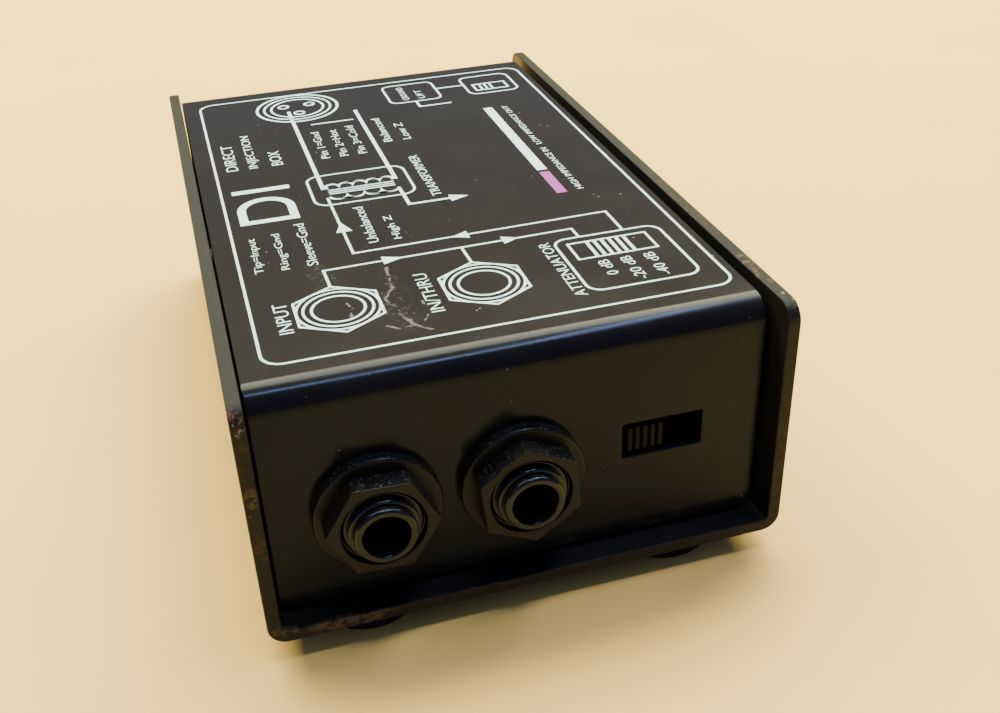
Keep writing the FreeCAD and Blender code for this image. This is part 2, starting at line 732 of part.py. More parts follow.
def transformer_winding():
    low, high = coil_levels()
    shape = limb_block(BOBBIN_WALL + COIL_BUILD - 0.4, low + CHEEK, high - CHEEK, 2.5)
    return shape.cut(limb_block(BOBBIN_WALL, low, high))


def transformer_tape():
    low, high = coil_levels()
    inner = BOBBIN_WALL + COIL_BUILD - 0.4
    shape = limb_block(inner + 0.3, low + CHEEK + 0.2, high - CHEEK - 0.2, 2.8)
    return shape.cut(limb_block(inner, low, high, 2.5))


def transformer_strap():
    """Steel strap over the core with a foot at each side."""
    half = CORE_WIDTH / 2
    deep = CORE_STACK / 2 - 1.0
    top = CORE_FLOOR + CORE_HEIGHT
    y0 = CORE_Y - deep
    y1 = CORE_Y + deep
    shape = block(-half - STRAP, half + STRAP, y0, y1, BASE_SHEET, top + STRAP)
    shape = round_edges(shape, STRAP, lambda e: straight_along(e, V(0, 1, 0)) and e.Curve.Location.z > 9)
    shape = shape.fuse(rounded_block(-half - 10, half + 10, y0, y1, BASE_SHEET, BASE_SHEET + STRAP,
                                     2.0, V(0, 0, 1)))
    shape = shape.removeSplitter().cut(block(-half, half, y0, y1, BASE_SHEET + STRAP, top))
    for side in (-1, 1):
        x = side * STRAP_SCREW_X
        shape = shape.cut(rod(CLEARANCE_RADIUS, V(x, CORE_Y, 0), V(x, CORE_Y, 9)))
    return shape


LUG_THICK = 0.6
LOCK_WASHER = 0.7


def strap_stack(side):
    """Height at which the lock washer starts on each strap screw; the lug lies on the right one."""
    return BASE_SHEET + STRAP + (LUG_THICK if side > 0 else 0)


def strap_screw(side):
    return pan_screw(V(side * STRAP_SCREW_X, CORE_Y, 0), V(0, 0, 1), 8.0, 2.8, 1.7, SCREW_RADIUS)


def strap_washer(side):
    x = side * STRAP_SCREW_X
    level = strap_stack(side)
    return ring(2.9, SCREW_RADIUS + 0.1, V(x, CORE_Y, level), V(x, CORE_Y, level + LOCK_WASHER))


def strap_nut(side):
    x = side * STRAP_SCREW_X
    level = strap_stack(side) + LOCK_WASHER
    corners = []
    for corner in range(6):
        angle = math.radians(60 * corner + 12 * side)
        corners.append(V(x + 3.17 * math.cos(angle), CORE_Y + 3.17 * math.sin(angle), level))
    nut = extrude(corners, V(0, 0, 2.4))
    return nut.cut(rod(SCREW_RADIUS + EPS, V(x, CORE_Y, 0), V(x, CORE_Y, 12)))


def ground_lug():
    x = STRAP_SCREW_X
    level = BASE_SHEET + STRAP
    eye = rod(3.1, V(x, CORE_Y, level), V(x, CORE_Y, level + LUG_THICK))
    tail = block(x - 1.2, x + 1.2, CORE_Y, CORE_Y + 8.5, level, level + LUG_THICK)
    barrel = rod(1.3, V(x, CORE_Y + 6.5, level + 1.3), V(x, CORE_Y + 10.5, level + 1.3))
    lug = eye.fuse(tail).fuse(barrel).removeSplitter()
    lug = lug.cut(rod(SCREW_RADIUS + 0.1, V(x, CORE_Y, 0), V(x, CORE_Y, 12)))
    return lug.cut(rod(WIRE_RADIUS, V(x, CORE_Y + 8.5, level + 1.3), V(x, CORE_Y + 12, level + 1.3)))


# ---------------------------------------------------------------- wiring
COIL_FACE = CORE_STACK / 2 + BOBBIN_WALL + COIL_BUILD - 0.1


def primary_leads():
    """Three leads from the coil's front face down to the front board."""
    low = coil_levels()[0]
    leads = []
    for number in range(3):
        x = -4.5 + 4.5 * number
        z = low + 4.0 + 1.5 * number
        start = CORE_Y - COIL_FACE
        end = FRONT_BOARD_REAR - 2.2
        leads.append(wire([V(x, start, z), V(x, start - 7, z), V(x - 2, end + 6, z + 3.0 - number),
                           V(x - 2, end, z + 1.0 - number), V(x - 2, end, FRONT_BOARD_TOP)]))
    return leads


def secondary_leads():
    """Three leads from the coil's rear face down to the rear board."""
    low = coil_levels()[0]
    leads = []
    for number in range(3):
        x = -4.0 + 4.0 * number
        z = low + 4.5 + 1.3 * number
        start = CORE_Y + COIL_FACE
        end = REAR_BOARD_FRONT + 1.8
        leads.append(wire([V(x, start, z), V(x, start + 7, z), V(x + 4, end - 6, z + 2.0),
                           V(x + 4, end, z), V(x + 4, end, REAR_BOARD_TOP)]))
    return leads


def ground_wire():
    """From the lug's barrel back to the rear board."""
    x = STRAP_SCREW_X
    z = BASE_SHEET + STRAP + 1.3
    start = CORE_Y + 8.5
    end = REAR_BOARD_FRONT + 1.8
    return wire([V(x, start, z), V(x, start + 6, z), V(x + 2, start + 13, z + 8),
                 V(x + 2, end, z + 9), V(x + 2, end, REAR_BOARD_TOP)])


def link_wires():
    """Two leads that carry the unswitched ground past the transformer, front board to rear board."""
    leads = []
    for x, z in ((-31.0, 15.0), (31.0, 17.0)):
        side = 1 if x > 0 else -1
        front = FRONT_BOARD_REAR - 2.2
        rear = REAR_BOARD_FRONT + 1.8
        leads.append(wire([V(x - side, front, FRONT_BOARD_TOP), V(x - side, front, z),
                           V(x + side, front + 14, z + 2), V(x + side, CORE_Y, z - 1.5),
                           V(x + side, rear - 14, z + 2), V(x - side, rear, z),
                           V(x - side, rear, REAR_BOARD_TOP)]))
    return leads


# ---------------------------------------------------------------- assembly
def main():
    os.makedirs("parts", exist_ok=True)
    save("base_chassis", base_chassis())
    save("top_cover", top_cover())
    for place, (x, y) in FEET.items():
        save("foot_" + place, foot(x, y))
    save("cover_screws", group([cover_screw(x, y) for x, y in FEET.values()]))
    save("clinch_nuts", group([clinch_nut(x, y) for x, y in FEET.values()]))

    front_legs = []
    for name, (x, turn) in JACKS.items():
        save(name + "_jack_body", jack_body(x))
        save(name + "_jack_washer", jack_washer(x))
        save(name + "_jack_nut", jack_nut(x, turn))
        for leaf, (angle, root, contact) in LEAVES.items():
            save(name + "_" + leaf + "_spring", jack_leaf(x, angle, root, contact))
        terminals = jack_terminals(x)
        save(name + "_jack_terminals", group(terminals))
        front_legs += terminals

    rear_legs = []
    switches = (
        ("attenuator", 3, at_front, SWITCH_Z - FRONT_BOARD_TOP, front_legs),
        ("ground_lift", 2, at_rear, SWITCH_Z - REAR_BOARD_TOP, rear_legs),
    )
    for name, positions, place, drop, legs in switches:
        frame = place(switch_frame(positions, drop))
        pins = [place(pin) for pin in switch_pins(positions, drop)]
        save(name + "_frame", frame)
        save(name + "_wafer", place(switch_wafer(positions)))
        save(name + "_slider", place(switch_slider(positions)))
        save(name + "_wipers", group([place(strip) for strip in switch_wipers(positions)]))
        save(name + "_pins", group(pins))
        legs += [frame] + pins

    pads = []
    for number in range(PAD_COUNT):
        pads.append(axial_resistor(PAD_X + PAD_PITCH * number, PAD_Y, FRONT_BOARD_TOP))
    save("pad_resistors", group(pads))
    save("front_board", board(-PANEL_INNER + BOARD_STANDOFF, FRONT_BOARD_REAR, FRONT_BOARD_TOP,
                              front_legs + pads))

    save("xlr_housing", xlr_housing())
    save("xlr_insert", xlr_insert())
    contacts = xlr_pins()
    save("xlr_pins", group(contacts))
    save("xlr_screws", group([xlr_screw(x, z) for x, z in xlr_screw_places()]))
    lift_resistor = axial_resistor(*LIFT_RESISTOR, REAR_BOARD_TOP)
    lift_capacitor = film_capacitor(*LIFT_CAPACITOR, REAR_BOARD_TOP)
    save("lift_resistor", lift_resistor)
    save("lift_capacitor", lift_capacitor)
    save("rear_board", board(REAR_BOARD_FRONT, PANEL_INNER - BOARD_STANDOFF, REAR_BOARD_TOP,
                             rear_legs + contacts + [lift_resistor, lift_capacitor]))

    save("transformer_core", transformer_core())
    save("transformer_bobbin", transformer_bobbin())
    save("transformer_winding", transformer_winding())
    save("transformer_tape", transformer_tape())
    save("transformer_strap", transformer_strap())
    save("strap_screws", group([strap_screw(side) for side in (-1, 1)]))
    save("strap_washers", group([strap_washer(side) for side in (-1, 1)]))
    save("strap_nuts", group([strap_nut(side) for side in (-1, 1)]))
    save("ground_lug", ground_lug())
    save("primary_leads", group(primary_leads()))
    save("secondary_leads", group(secondary_leads()))
    save("ground_wire", ground_wire())
    save("link_wires", group(link_wires()))


main()
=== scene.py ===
import json
import math

import bmesh
import bpy
from mathutils import Euler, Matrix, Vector

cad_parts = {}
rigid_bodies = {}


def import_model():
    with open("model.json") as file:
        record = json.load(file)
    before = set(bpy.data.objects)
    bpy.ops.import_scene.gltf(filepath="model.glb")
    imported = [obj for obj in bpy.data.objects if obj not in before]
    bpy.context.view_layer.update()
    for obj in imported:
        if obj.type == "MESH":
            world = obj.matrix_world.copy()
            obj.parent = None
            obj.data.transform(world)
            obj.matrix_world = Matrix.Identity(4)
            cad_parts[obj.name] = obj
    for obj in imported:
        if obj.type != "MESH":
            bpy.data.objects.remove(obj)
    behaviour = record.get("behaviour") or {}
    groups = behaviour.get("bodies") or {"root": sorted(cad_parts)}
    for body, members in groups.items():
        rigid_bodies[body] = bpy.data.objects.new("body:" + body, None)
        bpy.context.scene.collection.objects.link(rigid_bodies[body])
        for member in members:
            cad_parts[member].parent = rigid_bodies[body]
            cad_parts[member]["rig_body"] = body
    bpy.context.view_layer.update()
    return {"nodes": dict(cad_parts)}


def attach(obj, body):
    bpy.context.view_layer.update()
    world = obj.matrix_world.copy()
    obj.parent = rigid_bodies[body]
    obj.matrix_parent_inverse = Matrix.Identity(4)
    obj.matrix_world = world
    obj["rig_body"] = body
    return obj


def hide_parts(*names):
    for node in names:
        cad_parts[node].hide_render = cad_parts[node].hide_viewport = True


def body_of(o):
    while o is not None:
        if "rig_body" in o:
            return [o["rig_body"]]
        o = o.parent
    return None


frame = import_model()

MM = 0.001
nodes = frame["nodes"]
scene = bpy.context.scene

# Places on the object, in millimetres, in the part's own frame.
TOP_Z = 42.0                # outer face of the cover's top
WALL_TOP_Z = 42.5           # upper edges of the chassis' side walls
BODY_MIDDLE_Y = 1.7         # half way between the front and rear panels
FRONT_CUT_Y = -61.8         # front edges of the chassis
REAR_CUT_Y = 65.2           # rear edges of the chassis
# painted shade: where the cut under the window is painted near-black
SHADED_SILL = (20.3, -57.5, 20.1)  # cut face under the attenuator's window
SHADED_SILL_REACH = (10.0, 0.75, 0.8)
# painted shade in the hollow behind the attenuator's window: its middle and reach
WINDOW_SHADE = (20.3, -55.5, 23.2)  # middle of the hollow behind that window
WINDOW_SHADE_REACH = (13.0, 8.0, 6.5)

# Reflectance of the dark coatings: weak, and cooler than the floor that they mirror.
SHEEN = 0.21
SHEEN_TINT = (0.30, 0.46, 1.0, 1.0)
CHASSIS_TINT = (0.43, 0.55, 0.85, 1.0)

# How sharp edges are rounded over.
EASE_ANGLE = 32.0     # degrees between two faces from which their edge is rounded
FLAT_ANGLE = 1.2      # degrees under which two faces are merged first
SMOOTH_ANGLE = 34.0   # degrees up to which shading runs on over an edge
EASE_STEPS = 2
EASED = {
    "base_chassis": 0.30, "top_cover": 0.30,
    "input_jack_nut": 0.20, "thru_jack_nut": 0.20,
    "input_jack_washer": 0.20, "thru_jack_washer": 0.20,
    "attenuator_slider": 0.10, "ground_lift_slider": 0.10,
}

CLIP_START = 0.005
LENS = 41.816
SENSOR = 36.0
CAMERA_PLACE = (-0.03811, -0.18258, 0.12019)
CAMERA_TURN = (58.51, 1.94, -16.83)

# A wide bank of light behind and above, and a narrow tube in two lengths in front of it:
# name, place, size, watts, colour, and degrees turned about the vertical.
LIGHTS = (
    ("bank", (0.30, 0.86, 1.30), (2.8, 1.16), 184.0, (1.0, 0.885, 0.45), 0.0),
    ("tube_left", (0.12, -0.30, 1.30), (0.44, 0.12), 5.2, (0.92, 0.90, 0.86), 0.0),
    ("tube_right", (0.47, -0.02, 1.30), (0.61, 0.12), 7.2, (0.92, 0.90, 0.86), 64.7),
)
SKY = (0.46, 0.62, 1.0)
SKY_STRENGTH = 0.36
FLOOR_HALF = 6.0


# ---------------------------------------------------------------- camera, floor and light

def add_camera():
    data = bpy.data.cameras.new("camera")
    data.lens = LENS
    data.sensor_width = SENSOR
    data.clip_start = CLIP_START
    camera = bpy.data.objects.new("camera", data)
    camera.location = CAMERA_PLACE
    camera.rotation_euler = Euler([math.radians(angle) for angle in CAMERA_TURN], "XYZ")
    scene.collection.objects.link(camera)
    scene.camera = camera


def add_panel_light(name, place, size, watts, colour, turn):
    """A level rectangle that shines straight down."""
    data = bpy.data.lights.new(name, "AREA")
    data.shape = "RECTANGLE"
    data.size, data.size_y = size
    data.energy = watts
    data.color = colour
    light = bpy.data.objects.new(name, data)
    light.location = place
    light.rotation_euler.z = math.radians(turn)
    scene.collection.objects.link(light)


def add_world(colour, strength):
    world = bpy.data.worlds.new("world")
    world.use_nodes = True
    background = world.node_tree.nodes["Background"]
    background.inputs["Color"].default_value = (*colour, 1.0)
    background.inputs["Strength"].default_value = strength
    scene.world = world


# ---------------------------------------------------------------- procedural materials

WANDER_SCALE = 420.0  # how finely a scratch wanders, per metre


class Finish:
    """A procedural material. Sizes are in millimetres of the object."""

    def __init__(self, name, colour, roughness, metallic=0.0):
        self.material = bpy.data.materials.new(name)
        self.material.use_nodes = True
        self.tree = self.material.node_tree
        self.shader = self.tree.nodes["Principled BSDF"]
        self.colour = (*colour, 1.0)
        self.roughness = roughness
        self.shader.inputs["Base Color"].default_value = self.colour
        self.shader.inputs["Roughness"].default_value = roughness
        self.shader.inputs["Metallic"].default_value = metallic
        if not metallic:
            self.shader.inputs["Specular IOR Level"].default_value = SHEEN
            self.shader.inputs["Specular Tint"].default_value = SHEEN_TINT
        self.place = self.add("ShaderNodeTexCoord").outputs["Object"]

    def add(self, kind, inputs=None, **settings):
        node = self.tree.nodes.new(kind)
        for key, value in settings.items():
            setattr(node, key, value)
        for key, value in (inputs or {}).items():
            self.put(node.inputs[key], value)
        return node

    def put(self, socket, value):
        if isinstance(value, bpy.types.NodeSocket):
            self.tree.links.new(value, socket)
        else:
            socket.default_value = value

    def math(self, operation, a, b=0.0, clamp=False):
        node = self.add("ShaderNodeMath", {0: a, 1: b}, operation=operation)
        node.use_clamp = clamp
        return node.outputs[0]

    def axis(self, letter):
        return self.add("ShaderNodeSeparateXYZ", {0: self.place}).outputs[letter]

    def span(self, value, low, high, start=0.0, end=1.0):
        names = {"Value": value, "From Min": low, "From Max": high, "To Min": start, "To Max": end}
        return self.add("ShaderNodeMapRange", names, interpolation_type="SMOOTHSTEP").outputs[0]

    def noise(self, size, detail=3.0, roughness=0.55, distortion=0.0, stretch=None, shift=(0, 0, 0)):
        place = self.place
        if stretch or any(shift):
            names = {"Vector": place, "Scale": stretch or (1, 1, 1), "Location": shift}
            place = self.add("ShaderNodeMapping", names).outputs[0]
        names = {"Vector": place, "Scale": 1.0 / (size * MM), "Detail": detail,
                 "Roughness": roughness, "Distortion": distortion}
        return self.add("ShaderNodeTexNoise", names).outputs[0]

    def cells(self, size):
        names = {"Vector": self.place, "Scale": 1.0 / (size * MM)}
        return self.add("ShaderNodeTexVoronoi", names).outputs["Distance"]

    def vector(self, operation, a, b, output=0):
        second = "Scale" if operation == "SCALE" else 1
        return self.add("ShaderNodeVectorMath", {0: a, second: b}, operation=operation).outputs[output]

    def near(self, centre, reach):
        """1 at a place in millimetres, falling to 0 at that reach along each axis."""
        names = {"Vector": self.place, "Location": [c * MM for c in centre],
                 "Scale": [r * MM for r in reach]}
        moved = self.add("ShaderNodeMapping", names, vector_type="TEXTURE").outputs[0]
        length = self.vector("LENGTH", moved, (0.0, 0.0, 0.0), "Value")
        return self.span(length, 1.0, 0.55)

    def line(self, points, half, wander=1.2):
        """1 on a thin wandering line over the top, through points in millimetres."""
        names = {"Vector": self.place, "Scale": WANDER_SCALE, "Detail": 4.0}
        drift = self.add("ShaderNodeTexNoise", names).outputs["Color"]
        drift = self.vector("SCALE", self.vector("SUBTRACT", drift, (0.5, 0.5, 0.5)), 2.0 * wander * MM)
        place = self.vector("MULTIPLY", self.vector("ADD", self.place, drift), (1.0, 1.0, 0.0))
        corners = [Vector((*point, 0.0)) * MM for point in points]
        nearest = None
        for start, end in zip(corners, corners[1:]):
            run = end - start
            ahead = self.vector("SUBTRACT", place, start)
            share = self.vector("DOT_PRODUCT", ahead, run / run.length_squared, "Value")
            share = self.math("MULTIPLY", share, 1.0, clamp=True)
            away = self.vector("DISTANCE", ahead, self.vector("SCALE", run, share), "Value")
            nearest = away if nearest is None else self.math("MINIMUM", nearest, away)
        return self.span(nearest, half * MM, half * MM * 0.3)

    def blend(self, amount, colour):
        """Mixes a colour in, by a mask, over what the base colour is so far."""
        node = self.add("ShaderNodeMix", data_type="RGBA")
        self.put(node.inputs["Factor"], amount)
        base = self.shader.inputs["Base Color"]
        before = base.links[0].from_socket if base.is_linked else self.colour
        self.put(node.inputs["A"], before)
        self.put(node.inputs["B"], (*colour, 1.0))
        self.put(base, node.outputs["Result"])

    def blend_value(self, name, amount, value):
        socket = self.shader.inputs[name]
        before = socket.links[0].from_socket if socket.is_linked else socket.default_value
        node = self.add("ShaderNodeMix", data_type="FLOAT")
        for key, item in (("Factor", amount), ("A", before), ("B", value)):
            self.put(node.inputs[key], item)
        self.put(socket, node.outputs["Result"])

    def vary(self, size, low, high, roughness_spread=0.0, **kinds):
        """Slow variation of the base colour and the roughness."""
        field = self.noise(size, **kinds)
        self.blend(self.span(field, 0.35, 0.65), tuple(c * high for c in self.colour[:3]))
        self.blend(self.span(field, 0.45, 0.2), tuple(c * low for c in self.colour[:3]))
        if roughness_spread:
            value = self.span(field, 0.3, 0.7, self.roughness - roughness_spread,
                              self.roughness + roughness_spread)
            self.put(self.shader.inputs["Roughness"], value)

    def bump(self, height, strength, depth):
        """Depth in millimetres. Later bumps are laid over earlier ones."""
        socket = self.shader.inputs["Normal"]
        names = {"Height": height, "Strength": strength, "Distance": depth * MM}
        node = self.add("ShaderNodeBump", names)
        if socket.is_linked:
            self.put(node.inputs["Normal"], socket.links[0].from_socket)
        self.put(socket, node.outputs[0])

    def specks(self, size, amount, colour, gate, share=0.5):
        """Small dust specks: the middles of random cells, thinned out by a gate."""
        spots = self.span(self.cells(size), amount + 0.05, amount)
        chosen = self.math("MULTIPLY", spots, self.span(gate, share, share + 0.06))
        self.blend(chosen, colour)
        self.blend_value("Roughness", chosen, 0.9)


def black_paint(name, colour, roughness):
    """Satin black paint over steel, with orange peel, dust and fine wear."""
    finish = Finish(name, colour, roughness)
    finish.vary(14.0, 0.8, 1.25, 0.03, detail=5.0)
    finish.bump(finish.noise(0.55, detail=2.0), 0.12, 0.05)
    finish.bump(finish.noise(4.0, detail=1.0), 0.05, 0.10)
    return finish


# Pale scratches on the cover's top, as points in millimetres.
SCRATCH = (
    (-12.4, -29.5), (-13.0, -35.8), (-14.1, -39.3), (-13.1, -44.1), (-11.9, -48.1), (-10.2, -49.6),
)
SMALL_SCRATCHES = (
    ((-19.8, -38.2), (-19.2, -40.4), (-19.9, -42.6)),
    ((-9.6, -41.5), (-8.9, -44.5), (-10.3, -47.0)),
    ((-15.6, -46.8), (-14.1, -48.2), (-12.6, -48.0)),
)

# painted reflection: a cooler black for the front and rear panels
PANEL_PAINTED_REFLECTION = (0.0040, 0.0052, 0.0105)
# painted light: a lighter black for the cover's top, where light falls
TOP_PAINTED_LIGHT = (0.0150, 0.0132, 0.0112)
SCRATCH_GREY = (0.15, 0.15, 0.175)
HAZE_GREY = (0.070, 0.070, 0.080)
# painted shade in the cut under the switch's window
REVEAL_PAINTED_SHADE = (0.002, 0.002, 0.002)


def cover_paint():
    finish = black_paint("cover_paint_black", (0.0044, 0.0044, 0.0052), 0.19)
    brushed = finish.noise(1.1, detail=4.0, stretch=(0.25, 4.0, 1.0))
    finish.blend(finish.span(brushed, 0.55, 0.8, 0.0, 0.35), (0.008, 0.0078, 0.0075))
    top = finish.span(finish.axis("Z"), 41.2 * MM, 41.95 * MM)
    # painted light: the top is painted a lighter black than the panels
    finish.blend(finish.math("MULTIPLY", top, finish.span(brushed, 0.3, 0.7, 0.85, 1.0)), TOP_PAINTED_LIGHT)
    # painted reflection: the front and rear panels mirror the warm floor, so their paint is made a cooler
    # black to stand in for that reflection
    upright_reflection = finish.span(finish.axis("Z"), 39.5 * MM, 37.5 * MM)
    finish.blend(finish.math("MULTIPLY", upright_reflection, finish.span(brushed, 0.3, 0.7, 0.7, 1.0)), PANEL_PAINTED_REFLECTION)
    # pale scratches and a rubbed haze beside the input jack's symbol
    broken = finish.span(finish.noise(1.6, 4.0), 0.40, 0.55)
    marks = finish.line(SCRATCH, 0.34)
    for points in SMALL_SCRATCHES:
        marks = finish.math("MAXIMUM", marks, finish.line(points, 0.22, 0.8))
    marks = finish.math("MULTIPLY", finish.math("MULTIPLY", marks, broken), top)
    finish.blend(finish.math("MULTIPLY", marks, 0.85), SCRATCH_GREY)
    haze = finish.math("MAXIMUM", finish.near((-13.0, -39.0, TOP_Z), (3.0, 12.0, 3.0)),
                       finish.near((-22.0, -29.5, TOP_Z), (2.5, 7.0, 3.0)))
    haze = finish.math("MULTIPLY", haze, finish.span(finish.noise(0.9, 6.0, 0.8), 0.50, 0.78))
    finish.blend(finish.math("MULTIPLY", haze, 0.55), HAZE_GREY)
    finish.blend_value("Roughness", haze, 0.6)
    gate = finish.noise(9.0, 2.0, shift=(0.31, 0.12, 0.4))
    finish.specks(2.6, 0.030, (0.17, 0.17, 0.17), gate, 0.58)
    finish.specks(1.1, 0.045, (0.10, 0.10, 0.10), finish.noise(5.0, 2.0), 0.60)
    # dust in the corner above the flange; and painted shade: the cut inside the lower edge of the switch's
    # window is painted near-black and matte
    low = finish.span(finish.axis("Z"), 11.0 * MM, 6.5 * MM)
    finish.blend(finish.math("MULTIPLY", low, finish.span(finish.noise(3.0, 4.0), 0.5, 0.8, 0.0, 0.4)),
                 (0.020, 0.019, 0.018))
    reveal_shade = finish.near(SHADED_SILL, SHADED_SILL_REACH)
    finish.blend(reveal_shade, REVEAL_PAINTED_SHADE)
    finish.blend_value("Roughness", reveal_shade, 0.95)
    return finish.material


# Worn places on the chassis' edges: middle, reach along each axis, colour, and the level of the
# noise above which they show, so that a lower level wears more away.
COPPER = (0.11, 0.058, 0.037)
TAN = (0.060, 0.047, 0.034)
BROWN = (0.030, 0.020, 0.016)
BARE = (0.25, 0.245, 0.25)
WORN = (
    ((-38.2, -61.4, 41.6), (1.6, 1.6, 2.4), COPPER, 0.50),
    ((-38.2, -61.8, 40.2), (1.6, 1.0, 1.8), BARE, 0.55),
    ((-37.7, -61.8, 36.5), (1.6, 1.0, 2.2), BROWN, 0.46),
    ((-37.6, -61.8, 29.1), (1.3, 1.0, 2.0), TAN, 0.45),
    ((-37.2, -61.8, 21.3), (1.5, 1.0, 3.2), BROWN, 0.42),
    ((-36.3, -61.8, 6.0), (2.6, 1.2, 2.6), TAN, 0.50),
    ((-27.0, -61.8, 5.2), (7.5, 1.2, 1.6), TAN, 0.44),
    ((-10.0, -61.8, 4.8), (9.0, 1.2, 1.4), BROWN, 0.54),
    ((37.8, -24.0, 42.5), (1.6, 17.0, 1.4), BROWN, 0.44),
    ((37.8, -50.0, 42.5), (1.6, 7.5, 1.4), COPPER, 0.50),
    ((38.0, -58.3, 42.2), (1.2, 3.0, 1.6), BARE, 0.58),
    ((37.8, -61.8, 18.0), (1.5, 1.0, 13.0), BROWN, 0.48),
    ((-37.8, -30.0, 42.5), (1.6, 26.0, 1.2), BROWN, 0.54),
    ((-37.8, 38.0, 42.5), (1.6, 20.0, 1.2), TAN, 0.60),
    ((37.8, 65.2, 24.0), (1.6, 1.2, 14.0), BROWN, 0.52),
    ((-37.8, 65.2, 26.0), (1.6, 1.2, 12.0), TAN, 0.58),
    ((6.0, 65.2, 4.8), (24.0, 1.2, 1.6), BROWN, 0.54),
)


def chassis_paint():
    finish = black_paint("chassis_paint_black", (0.0080, 0.0084, 0.0096), 0.42)
    finish.shader.inputs["Specular Tint"].default_value = CHASSIS_TINT
    y, z = finish.axis("Y"), finish.axis("Z")
    far, close = 0.35, 0.1  # depth behind a cut edge where its colour begins, and where it is full
    front = finish.span(y, (FRONT_CUT_Y + far) * MM, (FRONT_CUT_Y + close) * MM)
    rear = finish.span(y, (REAR_CUT_Y - far) * MM, (REAR_CUT_Y - close) * MM)
    upper = finish.span(z, (WALL_TOP_Z - far) * MM, (WALL_TOP_Z - close) * MM)
    cut = finish.math("MAXIMUM", finish.math("MAXIMUM", front, rear), upper)
    worked = finish.span(finish.noise(1.0, 5.0, 0.7), 0.35, 0.7)
    bared = finish.math("MULTIPLY", cut, finish.span(worked, 0.0, 1.0, 0.55, 1.0))
    finish.blend(bared, (0.0130, 0.0140, 0.0155))
    finish.blend_value("Roughness", cut, 0.62)
    # chips and rust
    grit = finish.noise(1.3, 6.0, 0.78, shift=(0.0, 0.07, 0.03))
    for middle, reach, colour, share in WORN:
        place = finish.near(middle, reach)
        finish.blend(finish.math("MULTIPLY", place, finish.span(grit, share, share + 0.10)), colour)
    blotches = finish.noise(2.3, 6.0, 0.8, shift=(0.05, 0.0, 0.02))
    anywhere = finish.math("MULTIPLY", cut, finish.span(blotches, 0.56, 0.68))
    finish.blend(finish.math("MULTIPLY", anywhere, 0.6), (0.040, 0.026, 0.019))
    finish.blend_value("Roughness", anywhere, 0.75)
    finish.specks(1.8, 0.040, (0.13, 0.125, 0.12), finish.noise(6.0, 2.0), 0.58)
    finish.bump(worked, 0.25, 0.06)
    finish.bump(finish.math("MULTIPLY", grit, cut), 0.35, 0.10)
    return finish.material


def moulded_plastic(name, colour, roughness, dust=0.0, sheen=SHEEN):
    """Injection moulded plastic with a fine grain, faint flow marks and dust."""
    finish = Finish(name, colour, roughness)
    finish.shader.inputs["Specular IOR Level"].default_value = sheen
    finish.vary(6.0, 0.75, 1.3, 0.05, detail=4.0)
    finish.bump(finish.noise(0.35, detail=2.0), 0.15, 0.03)
    finish.bump(finish.noise(2.5, detail=2.0), 0.08, 0.06)
    if dust:
        facing = finish.add("ShaderNodeNewGeometry").outputs["Normal"]
        up = finish.add("ShaderNodeSeparateXYZ", {0: facing}).outputs["Z"]
        lying = finish.math("MULTIPLY", finish.span(up, 0.35, 0.95),
                            finish.span(finish.noise(0.45, 5.0, 0.8), 0.55, 0.71))
        finish.blend(finish.math("MULTIPLY", lying, dust), (0.22, 0.21, 0.22))
        finish.blend_value("Roughness", lying, 0.9)
    finish.specks(1.0, 0.05, (0.12, 0.12, 0.12), finish.noise(3.0, 2.0), 0.60)
    return finish


def knob_plastic():
    """Black plastic, painted near-black and matte where it lies behind the panel: painted shade."""
    finish = moulded_plastic("knob_plastic_black", (0.0060, 0.0062, 0.0080), 0.42, sheen=SHEEN / 3)
    # either panel's outer face lies 60 mm from the middle
    depth = finish.math("ABSOLUTE", finish.math("SUBTRACT", finish.axis("Y"), BODY_MIDDLE_Y * MM))
    # painted shade: all that lies behind the panel's outer face is painted near-black and matte
    behind = finish.span(depth, 59.2 * MM, 58.9 * MM)
    finish.blend(behind, (0.0012, 0.0012, 0.0012))
    finish.blend_value("Roughness", behind, 1.0)
    return finish.material


def rubber():
    finish = Finish("foot_rubber_black", (0.005, 0.0052, 0.0070), 0.78)
    finish.vary(5.0, 0.7, 1.5, 0.08, detail=5.0)
    finish.bump(finish.noise(0.5, detail=3.0), 0.3, 0.06)
    finish.specks(0.9, 0.07, (0.10, 0.095, 0.085), finish.noise(4.0, 2.0), 0.5)
    return finish.material


def metal(name, colour, roughness, tarnish, stretch=(1, 1, 1)):
    """Worn bare or plated metal: blotches, fine drawn lines and small dark pits."""
    finish = Finish(name, colour, roughness, metallic=1.0)
    finish.vary(3.5, 0.7, 1.12, 0.1, detail=5.0)
    lines = finish.noise(0.35, detail=3.0, stretch=stretch)
    finish.bump(lines, 0.18, 0.02)
    finish.blend(finish.span(finish.noise(1.4, 5.0, 0.75), 0.56, 0.75, 0.0, 0.8), tarnish)
    finish.specks(0.7, 0.08, tuple(c * 0.35 for c in colour), finish.noise(2.0, 2.0), 0.58)
    return finish


def plain_metal(*values):
    return metal(*values).material


